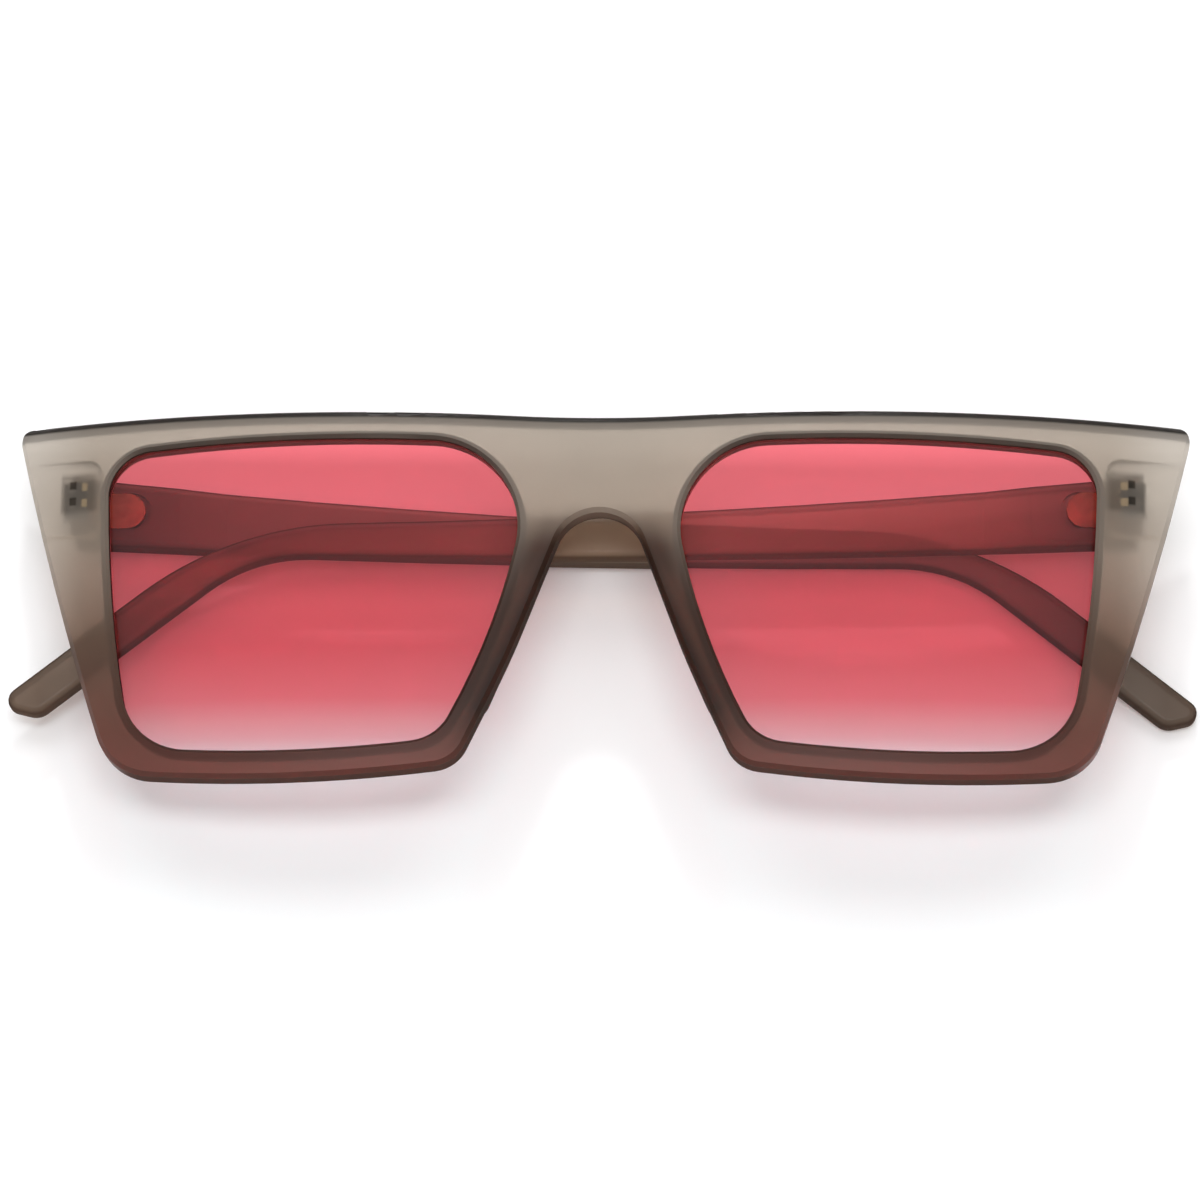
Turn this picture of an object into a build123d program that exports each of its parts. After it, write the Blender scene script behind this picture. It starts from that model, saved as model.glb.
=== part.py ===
from build123d import *
from math import atan, atan2, degrees, sqrt
import os

# Flat top sunglasses, folded, lying on the right temple with the lenses up. Sizes in millimetres.
# Left and right are the wearer's: left is +X. Y runs up to the brow, Z out through the lenses.

# Front moulding
front_width = 149.0
front_height = 47.1
front_thick = 4.0
lens_bend_radius = 113.0  # wrap of the front face over each lens
brow_corner_radius = 1.8
cheek_corner_radius = 8.0
nose_corner_radius = 5.0
nose_blend_radius = 120.0
bridge_arch_radius = 5.6
brow_edge_round = 0.9
rim_bevel = 0.55  # along the other edges, in front and behind
opening_bevel = 0.4
overrun = 4.0  # by which cutting bodies run past the moulding

# Lens openings and lenses
opening_top_inner_radius = 11.0
opening_top_outer_radius = 5.5
opening_low_outer_radius = 9.0
opening_low_inner_radius = 6.0
lens_thick = 1.8
lens_sink = 1.1  # from the front face to the lens
groove_depth = 1.0
fit_gap = 0.05  # round every piece that sits in a groove or pocket

# Nose pads, moulded on the back of the nose arms
pad_low = 8.0  # heights of the pad's ends above the bottom rims
pad_high = 25.5
pad_root_wide = 3.0
pad_edge_wide = 1.7
pad_end_trim = 2.6
pad_splay = 1.5
pad_back = 8.4  # how far behind the foremost line the pads reach

# End pieces and hinges
hinge_inset = 8.3  # from the front's end to the pin
hinge_level = 38.2
end_piece_proud = 2.6  # flat back face of the end piece, behind the moulding's at the pin
end_piece_tall = 9.8
end_piece_wide = 11.3
end_piece_bevel = 0.5
end_piece_corner = 2.0
barrel_radius = 1.25
pin_radius = 0.7
pin_gap = 0.05
knuckle_gap = 0.1
knuckle_middle_tall = 1.5
knuckle_outer_tall = 1.4
butt_gap = 0.1  # between end piece and temple when open
block_in = 1.3  # from the pin towards the middle
block_out = 1.9
block_thick = 1.0
prong_long = 3.6
prong_tall = 1.0
prong_pitch = 2.1
prong_in = 1.2
prong_out = 1.15
prong_flat = 1.4
prong_slope_drop = 1.1
head_radius = 1.1
head_tall = 0.5
slot_wide = 0.3
slot_deep = 0.25
plate_start = 0.8  # from the pin towards the temple's end
plate_end = 7.6
plate_tall = 4.6
plate_thick = 1.0
pocket_extra = 0.7

# Temples: lengths run from the pin
temple_length = 140.6
temple_root_tall = 9.0
temple_offset = 1.5  # from the pin to the temple's inner face
temple_root_thick = 3.4
temple_thick = 2.8
root_pad_end = 12.0
ramp_end = 18.0
ear_drop = 38.5  # degrees
ear_top_radius = 43.0
ear_low_radius = 20.0
ear_top_leg = 23.7
ear_low_leg = 26.8
tip_top_radius = 1.6
tip_low_radius = 2.4
temple_round = 1.0  # along the inner face
temple_bevel = 0.6  # along the outer face
stack_gap = 0.12  # between the folded temples

# Outlines as shares of the half width and of the height
peak_share = 0.4161  # the foremost line of each side
bridge_blend_share = 0.1477  # where the wrap turns hollow towards the bridge
side_shares = ((1.0, 1.0), (0.9262, 0.5648), (0.8148, 0.0276))
rim_shares = ((0.8148, 0.0276), (0.5168, 0.0), (0.2322, 0.0425))
nose_shares = ((0.2322, 0.0425), (0.1503, 0.3227), (0.0, 0.9575))
opening_shares = (
    ((0.1168, 0.9172), (0.4430, 0.9257), (0.8342, 0.9013)),
    ((0.8342, 0.9013), (0.8215, 0.5096), (0.7772, 0.0977)),
    ((0.7772, 0.0977), (0.5302, 0.0743), (0.2658, 0.1104)),
    ((0.2658, 0.1104), (0.1678, 0.4713), (0.1168, 0.9172)),
)
# Points along the temple's edges as shares of its length and of its root height
temple_top_shares = ((0.3478, 0.033), (0.7041, -0.211))
temple_low_shares = ((0.3556, -0.678), (0.7376, -0.711))

half_width = front_width / 2
hinge_x = half_width - hinge_inset
lens_peak_x = half_width * peak_share
bridge_blend_x = half_width * bridge_blend_share
blend_share = (lens_peak_x - bridge_blend_x) / lens_bend_radius
bridge_radius = bridge_blend_x / blend_share
temple_outer = temple_offset + temple_root_thick
temple_start = barrel_radius + pin_gap - butt_gap
knuckle_step = (knuckle_middle_tall + knuckle_outer_tall) / 2 + knuckle_gap
hinge_tall = knuckle_middle_tall + 2 * (knuckle_outer_tall + knuckle_gap)


def lens_wrap_z(x, inset):
    return sqrt((lens_bend_radius - inset) ** 2 - (x - lens_peak_x) ** 2) - lens_bend_radius


# Depths behind the foremost line
end_face_back = end_piece_proud - lens_wrap_z(hinge_x, front_thick)
pin_depth = end_face_back + barrel_radius + pin_gap


def wrap_edges(inset):
    """The front face's wrap, sunk by an inset, from the right edge to the left."""
    edge_x = half_width + overrun
    join_x = lens_peak_x - (lens_bend_radius - inset) * blend_share
    bridge_sag = bridge_radius * (1 - sqrt(1 - blend_share**2))
    bridge_z = lens_wrap_z(bridge_blend_x, 0) - bridge_sag - inset
    ends = [(x, -overrun, lens_wrap_z(x, inset)) for x in (join_x, (join_x + edge_x) / 2, edge_x)]
    mirrored = [(-x, y, z) for x, y, z in reversed(ends)]
    return [
        ThreePointArc(*mirrored),
        ThreePointArc(mirrored[-1], (0, -overrun, bridge_z), ends[0]),
        ThreePointArc(*ends),
    ]


def wrapped_slab(inset, deeper_inset):
    front, back = wrap_edges(inset), wrap_edges(deeper_inset)
    walls = [Line(front[0] @ 0, back[0] @ 0), Line(front[-1] @ 1, back[-1] @ 1)]
    return extrude(Face(Wire(front + back + walls)), front_height + 2 * overrun, dir=(0, 1, 0))


def placed(shares):
    return [(half_width * x, front_height * y) for x, y in shares]


def rounded(sketch, corners):
    for point, radius in corners:
        sketch = fillet(sketch.vertices().sort_by_distance(point)[0], radius)
    return sketch


def both(corners):
    return [((side * x, y), radius) for (x, y), radius in corners for side in (-1, 1)]


def through(sketch, back=None, front=None):
    """A sketch in the XY plane, run through the moulding or between two depths behind its foremost line."""
    back = pin_depth + overrun if back is None else back
    front = -overrun if front is None else front
    return extrude(Pos(0, 0, -back) * sketch, back - front)


def front_outline():
    """The outline with sharp brow corners, and the same with round ones."""
    side, rim, nose = placed(side_shares), placed(rim_shares), placed(nose_shares)
    half = [ThreePointArc(*side), ThreePointArc(*rim), Line(*nose[:2]), Line(*nose[1:])]
    other = [mirror(edge, about=Plane.YZ) for edge in half]
    top = Line((-side[0][0], side[0][1]), side[0])
    corners = both(
        [
            (side[-1], cheek_corner_radius),
            (nose[0], nose_corner_radius),
            (nose[1], nose_blend_radius),
        ]
    )
    sharp = rounded(make_face(half + other + [top]), corners + [(nose[-1], bridge_arch_radius)])
    return sharp, rounded(sharp, both([(side[0], brow_corner_radius)]))


def lens_opening():
    arcs = [placed(points) for points in opening_shares]
    radii = (
        opening_top_inner_radius,
        opening_top_outer_radius,
        opening_low_outer_radius,
        opening_low_inner_radius,
    )
    corners = [(points[0], radius) for points, radius in zip(arcs, radii)]
    return rounded(make_face([ThreePointArc(*points) for points in arcs]), corners)


def grown(sketch, distance):
    """An outline of arcs, moved outwards."""
    return make_face([ThreePointArc(e @ 0, e @ 0.5, e @ 1) for e in offset(sketch, distance).edges()])


def nose_pad():
    """A splayed pad whose face follows the nose edge."""
    low, high = placed(nose_shares)[:2], placed(nose_shares)[1:]
    slope = (low[0][0] - high[1][0]) / (high[1][1] - low[0][1])
    lean = atan((high[0][0] - high[1][0]) / (high[1][1] - high[0][1]))
    middle_y = (pad_low + pad_high) / 2
    middle_x = high[0][0] + (high[0][1] - middle_y) * slope
    long = pad_high - pad_low
    sections = (
        (pad_root_wide, long, pad_root_wide / 2, front_thick / 2 - lens_wrap_z(middle_x, 0)),
        (pad_edge_wide, long - 2 * pad_end_trim, pad_splay + pad_edge_wide / 2, pad_back),
    )
    faces = [
        Pos(middle_x + aside, middle_y, -depth) * Rot(0, 0, degrees(lean) + 90) * SlotOverall(length, wide)
        for wide, length, aside, depth in sections
    ]
    return loft(faces)


def knuckle(reach_in, reach_out, reach_z, level, tall):
    """A barrel round the pin at the origin, with a neck that runs to reach_z."""
    barrel = Cylinder(barrel_radius, tall, rotation=(90, 0, 0))
    neck = Box(reach_in + reach_out, tall, abs(reach_z))
    neck = Pos((reach_in - reach_out) / 2, 0, reach_z / 2) * neck
    bore = Cylinder(pin_radius + pin_gap, 2 * tall, rotation=(90, 0, 0))
    return Pos(0, level, 0) * (barrel + neck - bore)


def hinge_block(grow):
    """The part of the front hinge that is sunk into the end piece, grown by a gap but for its back."""
    seat = barrel_radius + pin_gap
    inner, outer = block_in + grow, block_out + grow
    body = Pos((inner - outer) / 2, hinge_level, seat + (block_thick + grow) / 2)
    body = body * Box(inner + outer, hinge_tall + 2 * grow, block_thick + grow)
    top = seat + block_thick + prong_long + grow
    points = [
        (-prong_out - grow, seat),
        (prong_in + grow, seat),
        (prong_in + grow, top),
        (prong_in - prong_flat - grow, top),
        (-prong_out - grow, top - prong_slope_drop),
    ]
    for side in (-1, 1):
        y = hinge_level + (side * prong_pitch - prong_tall) / 2 - grow
        prong = make_face(Polyline([(x, y, z) for x, z in points], close=True))
        body += extrude(prong, prong_tall + 2 * grow, dir=(0, 1, 0))
    return body


def front_hinge():
    block = hinge_block(0)
    for side in (-1, 1):
        level = hinge_level + side * knuckle_step
        block += knuckle(barrel_radius, barrel_radius, barrel_radius + pin_gap, level, knuckle_outer_tall)
    return block


def plate_face(grow, extra):
    """The temple hinge's plate, square at the temple's end and round at the other."""
    radius = plate_tall / 2 + grow
    start, end = -plate_start - grow, plate_end + grow + extra - radius
    low, high = hinge_level - radius, hinge_level + radius
    straight = Polyline((end, low), (start, low), (start, high), (end, high))
    return make_face([straight, ThreePointArc((end, high), (end + radius, hinge_level), (end, low))])


def temple_hinge():
    plate = extrude(Pos(0, 0, -temple_offset - plate_thick) * plate_face(0, 0), plate_thick)
    reach = -temple_offset - plate_thick / 2
    return plate + knuckle(barrel_radius, plate_start, reach, hinge_level, knuckle_middle_tall)


def hinge_screw():
    shaft = Pos(0, hinge_level, 0) * Cylinder(pin_radius, hinge_tall, rotation=(90, 0, 0))
    head_level = hinge_level + (hinge_tall + head_tall) / 2
    head = Pos(0, head_level, 0) * Cylinder(head_radius, head_tall, rotation=(90, 0, 0))
    slot = Box(2 * head_radius + slot_wide, slot_deep, slot_wide)
    return shaft + head - Pos(0, head_level + (head_tall - slot_deep) / 2, 0) * slot


def long_edges(body, low, high):
    """The edges that run along a temple between two depths."""
    edges = body.edges().filter_by(Axis.Z, reverse=True).filter_by(Axis.Y, reverse=True)
    return edges.filter_by_position(Axis.Z, low - fit_gap, high + fit_gap)


def temple():
    """The right temple, folded flat behind the front, with its pin at the origin."""
    def point(share_pair):
        return temple_length * share_pair[0], hinge_level + temple_root_tall * share_pair[1]

    edges, ends = [], []
    for side, shares, bend, leg in (
        (1, temple_top_shares, ear_top_radius, ear_top_leg),
        (-1, temple_low_shares, ear_low_radius, ear_low_leg),
    ):
        start = (-temple_start, hinge_level + side * temple_root_tall / 2)
        run = ThreePointArc(start, *[point(pair) for pair in shares])
        heading = run % 1
        drop = ear_drop + degrees(atan2(heading.Y, heading.X))
        ear = JernArc(run @ 1, heading, bend, -drop)
        tail = Line(ear @ 1, (ear @ 1) + (ear % 1) * leg)
        edges += [run, ear, tail]
        ends.append(tail @ 1)
    edges += [Line(*ends), Line(edges[0] @ 0, edges[3] @ 0)]
    side_view = rounded(make_face(edges), [(ends[0], tip_top_radius), (ends[1], tip_low_radius)])

    far = temple_length + overrun
    plan = [
        (-temple_start, -temple_outer),
        (far, -temple_outer),
        (far, temple_thick - temple_outer),
        (ramp_end, temple_thick - temple_outer),
        (root_pad_end, -temple_offset),
        (-temple_start, -temple_offset),
    ]
    above = Plane((0, front_height + overrun, 0), x_dir=(1, 0, 0), z_dir=(0, -1, 0))
    plan_face = above * make_face(Polyline(plan, close=True))
    body = extrude(plan_face, front_height + 2 * overrun) & extrude(
        Pos(0, 0, -temple_outer - overrun) * side_view, temple_root_thick + 2 * overrun
    )
    body = chamfer(long_edges(body.solids()[0], -temple_outer, -temple_outer), temple_bevel)
    body = fillet(long_edges(body, temple_thick - temple_outer, -temple_offset), temple_round)
    pocket_deep = plate_thick + fit_gap
    pocket_face = Pos(0, 0, -temple_offset - pocket_deep) * plate_face(fit_gap, pocket_extra)
    return body - extrude(pocket_face, 2 * pocket_deep)


# The folded temples cross without touching: both tilt, by an angle that follows from their thickness.
tilt = degrees(atan((temple_thick + stack_gap) / (2 * hinge_x)))


def rim_edges(shape):
    """The edges round a wrapped slab's two faces, first those behind and then those in front."""
    behind, front = [], []
    for edge in shape.edges().filter_by(Axis.Z, reverse=True).filter_by(Axis.Y, reverse=True):
        middle = edge.center()
        side = front if middle.Z > lens_wrap_z(abs(middle.X), front_thick / 2) else behind
        side.append(edge)
    return behind, front


def end_piece(outline):
    """The block behind the right end of the moulding that carries the hinge."""
    inner_x = half_width - end_piece_wide
    long = end_piece_wide + overrun
    block = Box(long, end_piece_tall, end_face_back)
    block = Pos(-inner_x - long / 2, hinge_level, -end_face_back / 2) * block
    corners = [e for e in block.edges().filter_by(Axis.Z) if e.center().X > -half_width]
    block = fillet(corners, end_piece_corner) & through(outline)
    block = chamfer(block.faces().sort_by(Axis.Z)[0].edges(), end_piece_bevel)
    return block & wrapped_slab(front_thick / 2, end_face_back)


# Front moulding, with both openings, their grooves, the nose pads and the end pieces
sharp_outline, outline = front_outline()
opening = lens_opening()
openings = [opening, mirror(opening, about=Plane.YZ)]
moulding = (wrapped_slab(0, front_thick) & through(sharp_outline)).solids()[0]
brow_edges = [edge for edge in rim_edges(moulding)[1] if edge.center().Y > front_height - fit_gap]
moulding = fillet(brow_edges, brow_edge_round)
behind, front = rim_edges(moulding)
front = [edge for edge in front if edge.center().Y < front_height - brow_edge_round - fit_gap]
moulding = chamfer(behind + front, rim_bevel)
moulding -= through(sharp_outline - outline)
pad, end = nose_pad() & through(outline), end_piece(outline)
for piece in (pad, end):
    moulding += piece
    moulding += mirror(piece, about=Plane.YZ)
groove_stack = wrapped_slab(lens_sink - fit_gap, lens_sink + lens_thick + fit_gap)
for sketch in openings:
    moulding -= through(sketch)
opening_edges = [
    edge
    for edge in rim_edges(moulding)[1]
    for sketch in openings
    if sketch.face().distance_to(Vertex(edge.center().X, edge.center().Y, 0)) < fit_gap
]
moulding = chamfer(opening_edges, opening_bevel)
for sketch in openings:
    moulding -= groove_stack & through(grown(sketch, groove_depth))
hinge_place = Pos(-hinge_x, 0, -pin_depth)
right_pocket = hinge_place * hinge_block(fit_gap)
moulding = moulding - right_pocket - mirror(right_pocket, about=Plane.YZ)

# Pieces of both sides in the front's own frame; the last number is the tilt of the folded temple
left_lens = wrapped_slab(lens_sink, lens_sink + lens_thick) & through(grown(opening, groove_depth - fit_gap))
right_temple, right_plate = temple(), temple_hinge()
pieces = {"frame_front": moulding, "lens_left": left_lens, "lens_right": mirror(left_lens, about=Plane.YZ)}
for name, shape, tilts in (
    ("front_hinge", front_hinge(), (0, 0)),
    ("hinge_screw", hinge_screw(), (0, 0)),
    ("temple", right_temple, (-tilt, tilt)),
    ("temple_hinge", right_plate, (-tilt, tilt)),
):
    pieces[name + "_left"] = mirror(hinge_place * Rot(0, tilts[0], 0) * shape, about=Plane.YZ)
    pieces[name + "_right"] = hinge_place * Rot(0, tilts[1], 0) * shape

# The whole rolls until the right temple's outer face lies flat on the ground
roll = Rot(0, -tilt, 0)
rolled = Compound(children=[(roll * shape).solid() for shape in pieces.values()])
box = rolled.bounding_box()
settle = Pos(-box.center().X, -box.center().Y, temple_outer - (roll * hinge_place).position.Z) * roll
os.makedirs("parts", exist_ok=True)
for name, shape in pieces.items():
    body = settle * shape
    solids = body.solids()
    print(name, len(solids), body.is_valid, round(body.volume, 2))
    export_step(solids[0], f"parts/{name}.step")
for side in (-1, 1):
    print("pin", tuple(round(v, 4) for v in (settle * Pos(side * hinge_x, hinge_level, -pin_depth)).position))
print("tilt", tilt, "settle", settle)
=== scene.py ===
import math

import bmesh
import bpy
from mathutils import Matrix, Vector

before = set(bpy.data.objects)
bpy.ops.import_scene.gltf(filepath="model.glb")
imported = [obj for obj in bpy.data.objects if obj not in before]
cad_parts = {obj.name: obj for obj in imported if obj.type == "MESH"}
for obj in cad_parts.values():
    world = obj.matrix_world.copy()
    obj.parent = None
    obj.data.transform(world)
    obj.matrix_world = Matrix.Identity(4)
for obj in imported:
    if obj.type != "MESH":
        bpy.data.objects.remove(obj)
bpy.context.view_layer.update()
scene = bpy.context.scene
scene.view_settings.view_transform = "Standard"

MM = 0.001


def span(low, high):
    """A length from one place to another, given in millimetres."""
    return low * MM, high * MM


def colour(red, green, blue):
    """A linear colour from screen values."""
    screen = (value / 255 for value in (red, green, blue))
    return (*(((c + 0.055) / 1.055) ** 2.4 if c > 0.04 else c / 12.92 for c in screen), 1.0)


BLACK = (0.0, 0.0, 0.0, 1.0)
WHITE = (1.0, 1.0, 1.0, 1.0)

# Shape of the front. Its own zero is in its middle, level with the bottom rims and with the
# foremost lines of its face.
ROLL = math.radians(1.2634)  # the front leans on the folded temples by this angle
FRONT_ORIGIN = Vector((-0.303, -23.5365, 20.0966)) * MM
FRONT_TALL = 47.1 * MM
PEAK_ASIDE = 31.0 * MM  # the foremost line of each side
WRAP_RADIUS = 113.0 * MM
BRIDGE_ASIDE, BRIDGE_RADIUS, BRIDGE_SAG = 11.0 * MM, 62.2 * MM, 2.76 * MM  # hollow of the bridge
NOSE_FOOT = (17.3 * MM, 2.0 * MM)  # foot of the nose edge: aside from the middle, and up
NOSE_ACROSS = (0.908, 0.420)  # across the nose edge, into the moulding

# Hinges, as the light shows them through the front
HINGE_ASIDE, HINGE_LEVEL = 66.2 * MM, 37.9 * MM
PRONG_ASIDE = 1.05 * MM  # each prong's middle, above or below the hinge's
PIN_MIDDLE = 6.36 * MM  # height of the hinge pins, between the two sides
PRONG_TOP = 5.9 * MM  # of the front hinges' prongs, above their pins

# Colours along a length, each with its share of that length
FRONT_SHADED_STOPS = (  # up the front, from the bottom rims: the plastic's smoke colour with painted shading, lighter at the brow, darker and redder towards the rims
    (0.0, colour(136, 84, 76)),
    (0.14, colour(126, 84, 73)),
    (0.40, colour(140, 115, 99)),
    (0.66, colour(190, 175, 159)),
    (1.0, colour(186, 176, 163)),
)
LENS_STOPS = (  # up the lenses, from the level of the bottom rims
    (0.07, colour(250, 232, 234)),
    (0.115, colour(248, 196, 202)),
    (0.225, colour(247, 142, 152)),
    (0.36, colour(241, 118, 129)),
    (1.0, colour(241, 118, 129)),
)
TEMPLE_HALF = 75.0 * MM
TEMPLE_SHADED_STOPS = (  # along the temples, outwards from the middle of the folded glasses: the plastic's colour with painted light behind the lenses and painted shade at the tips
    (0.0, colour(204, 180, 158)),
    (0.09, colour(204, 180, 158)),
    (0.2, colour(228, 214, 199)),
    (0.65, colour(198, 180, 164)),
    (0.95, colour(122, 103, 88)),
)

# Shades over those colours, each with its strength; the walls, bevels, brow and sunk hinges get painted
# shade, the ends and block walls painted light, the prong ends a painted glow
WALL_SHADE_COLOUR = colour(66, 44, 32)
SUNK_SHADE_COLOUR = colour(44, 37, 28)
CLOUD = (colour(96, 80, 70), 0.16)
END_PAINTED_LIGHT = (colour(218, 211, 201), 0.7)
ARM_SHADE = (colour(84, 54, 42), 0.93)
PAD_SHADE = (colour(24, 10, 5), 0.9)
BLOCK_WALL_PAINTED_LIGHT = (colour(250, 246, 240), 0.8)
BEVEL_SHADE = (WALL_SHADE_COLOUR, 0.55)
INNER_SHADE = (WALL_SHADE_COLOUR, 0.85)
TEMPLE_WALL_SHADE = (WALL_SHADE_COLOUR, 0.75)
BROW_SHADE = (colour(30, 28, 27), 0.95)
SUNK_BLOCK_SHADE = (SUNK_SHADE_COLOUR, 0.5)
SUNK_PRONG_SHADE = (SUNK_SHADE_COLOUR, 0.9)
PRONG_GLOW = colour(238, 224, 180)

# Shadows that the clear pieces throw
FRONT_SHADOW = colour(120, 106, 96)
TEMPLE_SHADOW = colour(168, 155, 145)
LENS_SHADOW = (0.03, 0.50, 0.50, 1.0)

# Where the front's shades begin and end. Heights count from the bottom rims, widths from the
# middle and depths from the face; steepness is 0 on the face and 1 on a wall.
BACK_DEPTH = span(3.7, 4.1)
END_WIDTH, END_HEIGHT = span(63.0, 73.0), span(12.0, 30.0)
ARM_FOOT, ARM_HEAD = span(1.0, 12.0), span(29.5, 36.0)
ARM_ACROSS, PAD_ACROSS = span(2.5, 7.5), span(0.5, 2.5)  # measured from the nose edge
BLOCK_STEEPNESS, BLOCK_WIDTH = (0.3, 0.8), span(58.0, 62.0)
BEVEL_STEEPNESS, BEVEL_WIDTH = (0.2, 0.28), span(56.0, 63.0)
OUTWARD_TURN, OUTWARD_CLEAR = (0.3, 0.7), 0.8  # walls that face outwards get less painted shade
INNER_DEPTH = span(0.45, 0.75)
BROW_HEIGHT = span(46.05, 46.4)

# The sunk hinge, measured from its middle
SUNK_INWARD, SUNK_OUTWARD, SUNK_TALL = span(-3.4, -2.0), span(1.7, 2.2), span(2.0, 3.0)
PRONG_INWARD, PRONG_OUTWARD, PRONG_TALL = span(-0.2, 0.1), span(0.7, 1.0), span(0.35, 0.7)
LIT_ENDS = span(-0.5, -0.3)  # the prongs' bright part ends here
SUNK_ABOVE_PIN = span(1.2, 1.5)  # from here up the block is sunk in the plastic and painted darker
TOP_ABOVE_PIN = (PRONG_TOP - 0.14 * MM, PRONG_TOP - 0.06 * MM)

TEMPLE_STEEPNESS = (0.05, 0.45)
BLOTCHES = (0.35, 0.75)  # of the plating
LINE_SCALE = (400.0, 9000.0, 400.0)  # fine lines round the pins, which run along Y
TRANSLUCENCY = 0.74

# Roughness, and what grain, walls, haze and lines add to it
PLASTIC_ROUGHNESS, GRAIN_ROUGHNESS, WALL_ROUGHNESS = 0.27, 0.12, 0.55
LENS_ROUGHNESS, HAZE_ROUGHNESS = 0.015, 0.01
PLATE_ROUGHNESS, PIN_ROUGHNESS, LINE_ROUGHNESS = 0.34, 0.2, 0.12


class Wire:
    """A socket that takes part in sums."""

    def __init__(self, look, socket):
        self.look, self.socket = look, socket

    def work(self, operation, *values):
        return self.look.node("ShaderNodeMath", {"operation": operation}, dict(enumerate(values)))

    def __add__(self, other):
        return self.work("ADD", self, other)

    def __radd__(self, other):
        return self.work("ADD", other, self)

    def __sub__(self, other):
        return self.work("SUBTRACT", self, other)

    def __rsub__(self, other):
        return self.work("SUBTRACT", other, self)

    def __mul__(self, other):
        return self.work("MULTIPLY", self, other)

    def __rmul__(self, other):
        return self.work("MULTIPLY", other, self)

    def __truediv__(self, other):
        return self.work("DIVIDE", self, other)

    def __pow__(self, power):
        return self.work("POWER", self, power)

    def __lt__(self, other):
        return self.work("LESS_THAN", self, other)

    def __abs__(self):
        return self.work("ABSOLUTE", self)


class Look:
    """The nodes of a material or of the world."""

    def __init__(self, owner):
        owner.use_nodes = True
        self.owner, self.tree = owner, owner.node_tree
        self.tree.nodes.clear()

    def node(self, kind, settings=None, sockets=None, out=0):
        """A node of the kind given, its settings made before its sockets."""
        made = self.tree.nodes.new(kind)
        for key, value in (settings or {}).items():
            if key == "stops":
                ramp = made.color_ramp
                while len(ramp.elements) < len(value):
                    ramp.elements.new(0.5)
                for element, stop in zip(ramp.elements, value):
                    element.position, element.color = stop
            else:
                setattr(made, key, value)
        for key, value in (sockets or {}).items():
            if isinstance(value, Wire):
                self.tree.links.new(value.socket, made.inputs[key])
            else:
                made.inputs[key].default_value = value
        return Wire(self, made.outputs[out]) if made.outputs else made

    def coordinate(self, out="Object"):
        return self.node("ShaderNodeTexCoord", out=out)

    def axes(self, vector):
        return [self.node("ShaderNodeSeparateXYZ", sockets={0: vector}, out=axis) for axis in "XYZ"]

    def rise(self, value, between, shape="SMOOTHSTEP"):
        """From 0 to 1 between two values."""
        sockets = {0: value, 1: between[0], 2: between[1], 3: 0.0, 4: 1.0}
        return self.node("ShaderNodeMapRange", {"interpolation_type": shape}, sockets)

    def fall(self, value, between):
        """From 1 to 0 between two values."""
        return 1.0 - self.rise(value, between)

    def noise(self, scale, detail=2.0, roughness=0.5):
        sockets = {"Vector": self.coordinate(), "Scale": scale, "Detail": detail, "Roughness": roughness}
        return self.node("ShaderNodeTexNoise", sockets=sockets)

    def mix(self, factor, first, second):
        return self.node("ShaderNodeMix", {"data_type": "RGBA"}, {0: factor, 6: first, 7: second}, out=2)

    def ramp(self, value, reach, stops):
        """Colours along a length that starts at zero."""
        share = self.rise(value, (0.0, reach), "LINEAR")
        return self.node("ShaderNodeValToRGB", {"stops": stops}, {0: share})

    def lay(self, tint, where, shade):
        """A shade laid over the tint, where the mask is 1."""
        over, strength = shade
        return self.mix(strength * where, tint, over)

    def bump(self, height, strength, distance):
        sockets = {"Height": height, "Strength": strength, "Distance": distance}
        return self.node("ShaderNodeBump", sockets=sockets)

    def principled(self, sockets):
        return self.node("ShaderNodeBsdfPrincipled", sockets=sockets)

    def clear(self, shader, shadow):
        """The shader, with light passing on to the ground in the shadow's tint."""
        passing = self.node("ShaderNodeBsdfTransparent", sockets={"Color": shadow})
        shadow_ray = self.node("ShaderNodeLightPath", out="Is Shadow Ray")
        return self.node("ShaderNodeMixShader", sockets={0: shadow_ray, 1: shader, 2: passing})

    def finish(self, shader, kind="ShaderNodeOutputMaterial"):
        self.node(kind, sockets={"Surface": shader})
        return self.owner


def new_look(name):
    return Look(bpy.data.materials.new(name))


def frosted(look, tint, walls, shadow):
    """Translucent plastic with a fine grain, in the tint given; its walls are sawn and duller."""
    grain = look.noise(scale=4200.0, roughness=0.6)
    cloud = look.noise(scale=110.0)
    plastic = look.principled({
        "Base Color": look.lay(tint, cloud, CLOUD),
        "Roughness": PLASTIC_ROUGHNESS + GRAIN_ROUGHNESS * grain + WALL_ROUGHNESS * walls,
        "Normal": look.bump(grain, strength=0.2, distance=0.02 * MM),
        "Transmission Weight": TRANSLUCENCY,
        "IOR": 1.25,
        "Specular IOR Level": 0.05,
    })
    return look.finish(look.clear(plastic, shadow))


def depth_below_face(x, z, aside):
    """How far into the front a place lies, straight down from its wrapped face."""
    from_peak = aside - PEAK_ASIDE
    wrap = WRAP_RADIUS - (WRAP_RADIUS**2 - from_peak * from_peak) ** 0.5
    hollow = (BRIDGE_RADIUS**2 - aside * aside) ** 0.5 - BRIDGE_RADIUS + BRIDGE_SAG
    wrap = wrap + (hollow - wrap) * (aside < BRIDGE_ASIDE)
    return FRONT_ORIGIN.z + (x - FRONT_ORIGIN.x) * math.tan(ROLL) - z - wrap


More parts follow.
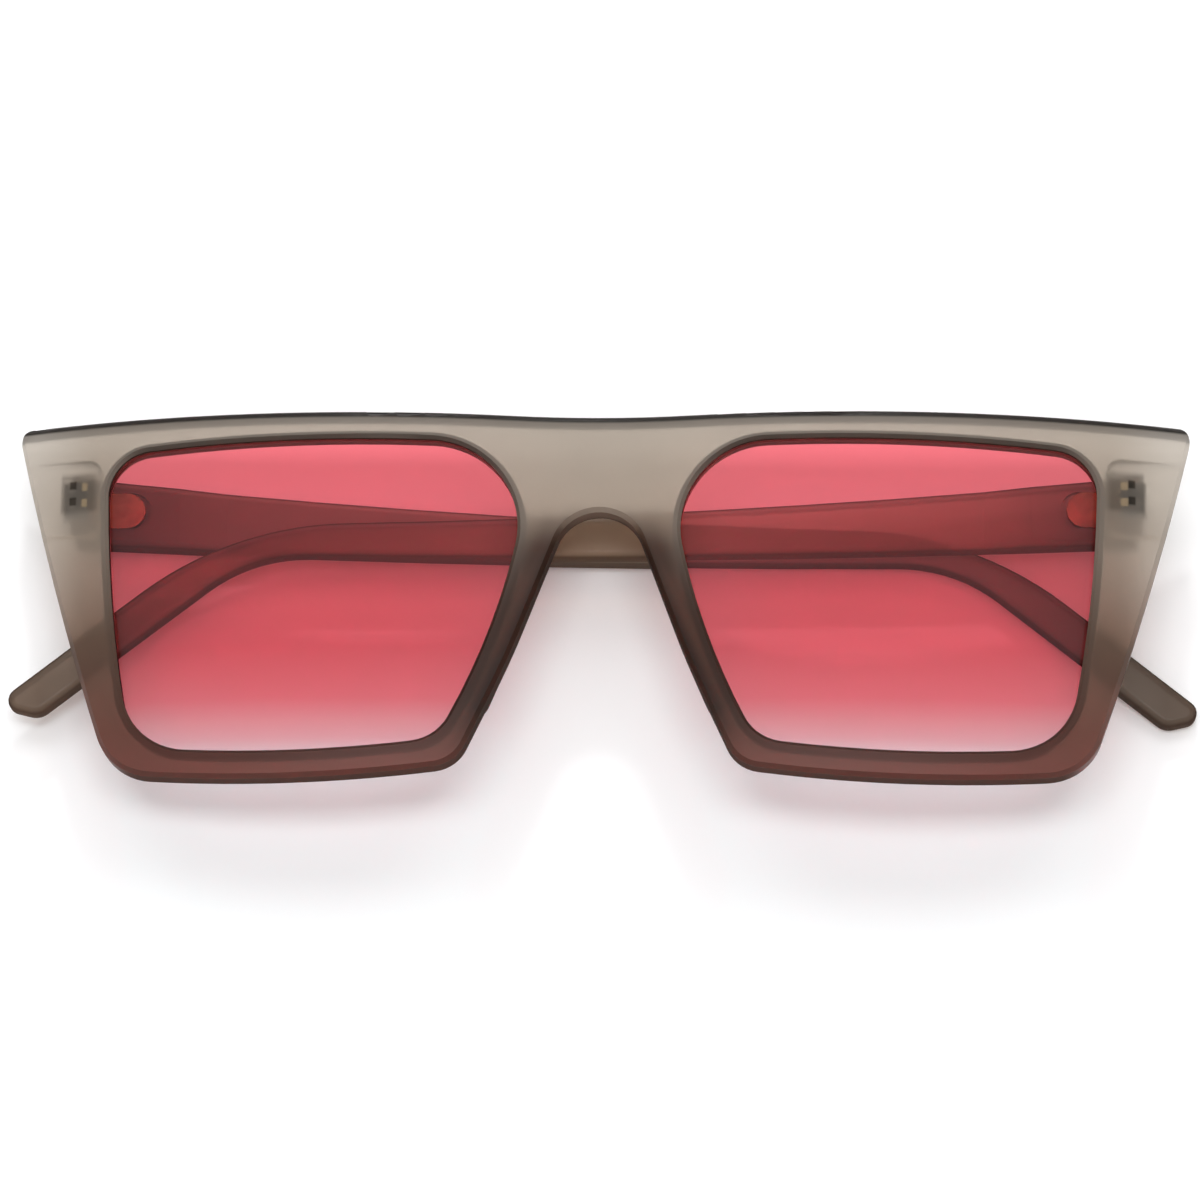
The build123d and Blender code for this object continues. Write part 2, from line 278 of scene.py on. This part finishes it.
def front_plastic():
    """Light at the brow and darker towards the rims, as painted shading; darkest where the nose pads are
    behind.
    """
    look = new_look("front_plastic")
    x, y, z = look.axes(look.coordinate())
    facing = look.axes(look.coordinate("Normal"))
    height = y - FRONT_ORIGIN.y
    aside = abs(x - FRONT_ORIGIN.x)
    steep = 1.0 - abs(facing[2])
    depth = depth_below_face(x, z, aside)
    before_back = look.fall(depth, BACK_DEPTH)
    tint = look.ramp(height, FRONT_TALL, FRONT_SHADED_STOPS)

    # painted light: the outer ends made paler
    ends = look.rise(aside, END_WIDTH) * look.rise(height, END_HEIGHT)
    tint = look.lay(tint, ends, END_PAINTED_LIGHT)

    from_nose = (aside - NOSE_FOOT[0]) * NOSE_ACROSS[0] + (height - NOSE_FOOT[1]) * NOSE_ACROSS[1]
    beside_nose = look.rise(height, ARM_FOOT) * look.fall(height, ARM_HEAD)
    tint = look.lay(tint, beside_nose * look.fall(from_nose, ARM_ACROSS), ARM_SHADE)
    tint = look.lay(tint, beside_nose * look.fall(from_nose, PAD_ACROSS), PAD_SHADE)

    # painted light: the steep walls of the end blocks behind the face painted pale, so they show no shade
    block_walls = look.rise(steep, BLOCK_STEEPNESS) * (1.0 - before_back) * look.rise(aside, BLOCK_WIDTH)
    tint = look.lay(tint, block_walls, BLOCK_WALL_PAINTED_LIGHT)
    # painted shade on the bevels round the openings
    bevels = look.rise(steep, BEVEL_STEEPNESS) * look.fall(aside, BEVEL_WIDTH)
    tint = look.lay(tint, bevels * before_back, BEVEL_SHADE)
    # painted shade on walls and in recesses below the face
    outward = look.rise(facing[0] * (x - FRONT_ORIGIN.x) / aside, OUTWARD_TURN)
    walls = look.rise(depth, INNER_DEPTH) * before_back * (1.0 - OUTWARD_CLEAR * outward)
    tint = look.lay(tint, walls, INNER_SHADE)
    # painted shade along the top edge of the brow
    tint = look.lay(tint, look.rise(height, BROW_HEIGHT), BROW_SHADE)

    # painted shade where the sunk hinge block and the gaps beside its prongs lie behind the plastic
    beside = aside - HINGE_ASIDE
    from_hinge = abs(height - HINGE_LEVEL)
    block = look.rise(beside, SUNK_INWARD) * look.fall(beside, SUNK_OUTWARD)
    tint = look.lay(tint, block * look.fall(from_hinge, SUNK_TALL), SUNK_BLOCK_SHADE)
    prongs = look.fall(abs(from_hinge - PRONG_ASIDE), PRONG_TALL)
    prongs = prongs * look.rise(beside, PRONG_INWARD) * look.fall(beside, PRONG_OUTWARD)
    tint = look.lay(tint, prongs, SUNK_PRONG_SHADE)
    return frosted(look, tint, walls, FRONT_SHADOW)


def temple_plastic():
    """Painted light where the light comes through behind the lenses, painted shade at the tips and on the
    walls.
    """
    look = new_look("temple_plastic")
    x, _, _ = look.axes(look.coordinate())
    facing = look.axes(look.coordinate("Normal"))
    tint = look.ramp(abs(x), TEMPLE_HALF, TEMPLE_SHADED_STOPS)
    # painted shade on the temples' steep walls
    walls = look.rise(1.0 - abs(facing[2]), TEMPLE_STEEPNESS)
    return frosted(look, look.lay(tint, walls, TEMPLE_WALL_SHADE), walls, TEMPLE_SHADOW)


def tinted_lens():
    """Rose at the top, nearly clear at the bottom."""
    look = new_look("tinted_lens")
    _, y, _ = look.axes(look.coordinate())
    haze = look.noise(scale=60.0)
    glass = look.principled({
        "Base Color": look.ramp(y - FRONT_ORIGIN.y, FRONT_TALL, LENS_STOPS),
        "Roughness": LENS_ROUGHNESS + HAZE_ROUGHNESS * haze,
        "Transmission Weight": 1.0,
        "IOR": 1.42,
    })
    return look.finish(look.clear(glass, LENS_SHADOW))


def plated_metal(name, bright, dark, roughness, sunk=False):
    """Metal with fine turned lines; sunk in the plastic, it is painted darker above the pins, and the
    flat prong ends glow.
    """
    look = new_look(name)
    blotch = look.noise(scale=700.0, detail=3.0)
    squeezed = look.node("ShaderNodeMapping", sockets={"Vector": look.coordinate(), "Scale": LINE_SCALE})
    lines = look.node("ShaderNodeTexNoise", sockets={"Vector": squeezed, "Scale": 1.0, "Detail": 2.0})
    tint = look.mix(look.rise(blotch, BLOTCHES), bright, dark)
    sockets = {
        "Metallic": 0.6,
        "Roughness": roughness + LINE_ROUGHNESS * lines,
        "Normal": look.bump(lines, strength=0.15, distance=0.01 * MM),
    }
    if sunk:
        x, _, z = look.axes(look.coordinate())
        above_pin = z - PIN_MIDDLE - x * math.tan(ROLL)
        # painted shade: the block darker where it is sunk in the plastic
        tint = look.mix(look.rise(above_pin, SUNK_ABOVE_PIN), tint, SUNK_SHADE_COLOUR)
        # painted light: the flat prong ends glow pale
        ends = look.rise(above_pin, TOP_ABOVE_PIN) * look.fall(abs(x) - HINGE_ASIDE, LIT_ENDS)
        sockets["Emission Color"] = look.mix(ends, BLACK, PRONG_GLOW)
        sockets["Emission Strength"] = 3.2
    sockets["Base Color"] = tint
    return look.finish(look.principled(sockets))


def dress(name, material):
    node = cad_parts[name]
    node.data.materials.clear()
    node.data.materials.append(material)


lens_tint = tinted_lens()
arm_plastic = temple_plastic()
plate_metal = plated_metal("plated_hinge", colour(172, 146, 112), colour(150, 126, 96), PLATE_ROUGHNESS)
block_metal = plated_metal(
    "plated_block", colour(206, 184, 148), colour(180, 156, 120), PLATE_ROUGHNESS, sunk=True
)
pin_metal = plated_metal("turned_screw", colour(225, 220, 212), colour(180, 174, 166), PIN_ROUGHNESS)

dress("frame_front", front_plastic())
for side in ("left", "right"):
    dress(f"lens_{side}", lens_tint)
    dress(f"temple_{side}", arm_plastic)
    dress(f"front_hinge_{side}", block_metal)
    dress(f"temple_hinge_{side}", plate_metal)
    dress(f"hinge_screw_{side}", pin_metal)

# Ground
GROUND_HALF = 3.0
GROUND_GLOW = 0.04  # only as it is seen; it throws no light on the glasses
GROUND_MARKS = 0.04
GROUND_PALE, GROUND_DULL = (0.93, 0.93, 0.93, 1.0), (0.86, 0.86, 0.86, 1.0)


def ground_material():
    look = new_look("pale_ground")
    grain = look.noise(scale=30.0)
    tint = look.mix(GROUND_MARKS * grain, GROUND_PALE, GROUND_DULL)
    diffuse = look.node("ShaderNodeBsdfDiffuse", sockets={"Color": tint})
    rays = ("Is Camera Ray", "Is Glossy Ray", "Is Transmission Ray")
    camera_ray, glossy_ray, inner_ray = (look.node("ShaderNodeLightPath", out=ray) for ray in rays)
    strength = GROUND_GLOW * (camera_ray + glossy_ray + inner_ray)
    glow = look.node("ShaderNodeEmission", sockets={"Color": WHITE, "Strength": strength})
    return look.finish(look.node("ShaderNodeAddShader", sockets={0: diffuse, 1: glow}))


mesh = bpy.data.meshes.new("ground")
ground = bpy.data.objects.new("ground", mesh)
scene.collection.objects.link(ground)
shape = bmesh.new()
bmesh.ops.create_grid(shape, x_segments=1, y_segments=1, size=GROUND_HALF)
shape.to_mesh(mesh)
shape.free()
mesh.materials.append(ground_material())

# Light
studio = Look(bpy.data.worlds.new("studio"))
seen = studio.node("ShaderNodeLightPath", out="Is Camera Ray")
air = studio.node("ShaderNodeBackground", sockets={"Color": (0.98, 0.985, 1.0, 1.0), "Strength": 0.60})
backdrop = studio.node("ShaderNodeBackground", sockets={"Color": WHITE, "Strength": 1.0})
both = studio.node("ShaderNodeMixShader", sockets={0: seen, 1: air, 2: backdrop})
scene.world = studio.finish(both, "ShaderNodeOutputWorld")


def lamp(name, place, size, power):
    """A lamp that faces the middle of the ground."""
    data = bpy.data.lights.new(name, "AREA")
    data.shape = "RECTANGLE"
    data.size, data.size_y = size
    data.energy = power
    made = bpy.data.objects.new(name, data)
    scene.collection.objects.link(made)
    place = Vector(place)
    made.matrix_world = Matrix.Translation(place) @ (-place).to_track_quat("-Z", "Y").to_matrix().to_4x4()


lamp("top_softbox", place=(0.0, 0.05, 1.10), size=(0.6, 0.19), power=4.1)
lamp("rear_softbox", place=(0.0, 0.62, 0.95), size=(1.4, 0.35), power=4.3)
lamp("low_window", place=(0.0, 0.94, 0.60), size=(0.10, 0.04), power=2.5)

# Camera, set out in the front's own frame
PICTURE = 1200  # pixels, wide and tall
BELOW, ASIDE = math.radians(15.0), math.radians(3.0)
AIM = Vector((0.0, 23.5, 0.0)) * MM
DISTANCE = 650.0 * MM
lean = Matrix.Rotation(-ROLL, 3, "Y")
toward = Vector((math.sin(ASIDE) * math.cos(BELOW), -math.sin(BELOW), math.cos(ASIDE) * math.cos(BELOW)))
across = Vector((1.0, 0.0, 0.0))
across = (across - toward * across.dot(toward)).normalized()
turn = Matrix((across, toward.cross(across), toward)).transposed()
place = FRONT_ORIGIN + lean @ (AIM + toward * DISTANCE)
data = bpy.data.cameras.new("camera")
data.lens = 157.4
data.sensor_width = 36.0
data.shift_x, data.shift_y = 3 / PICTURE, -8 / PICTURE
data.clip_start = 0.01
camera = bpy.data.objects.new("camera", data)
scene.collection.objects.link(camera)
camera.matrix_world = Matrix.Translation(place) @ (lean @ turn).to_4x4()
scene.camera = camera
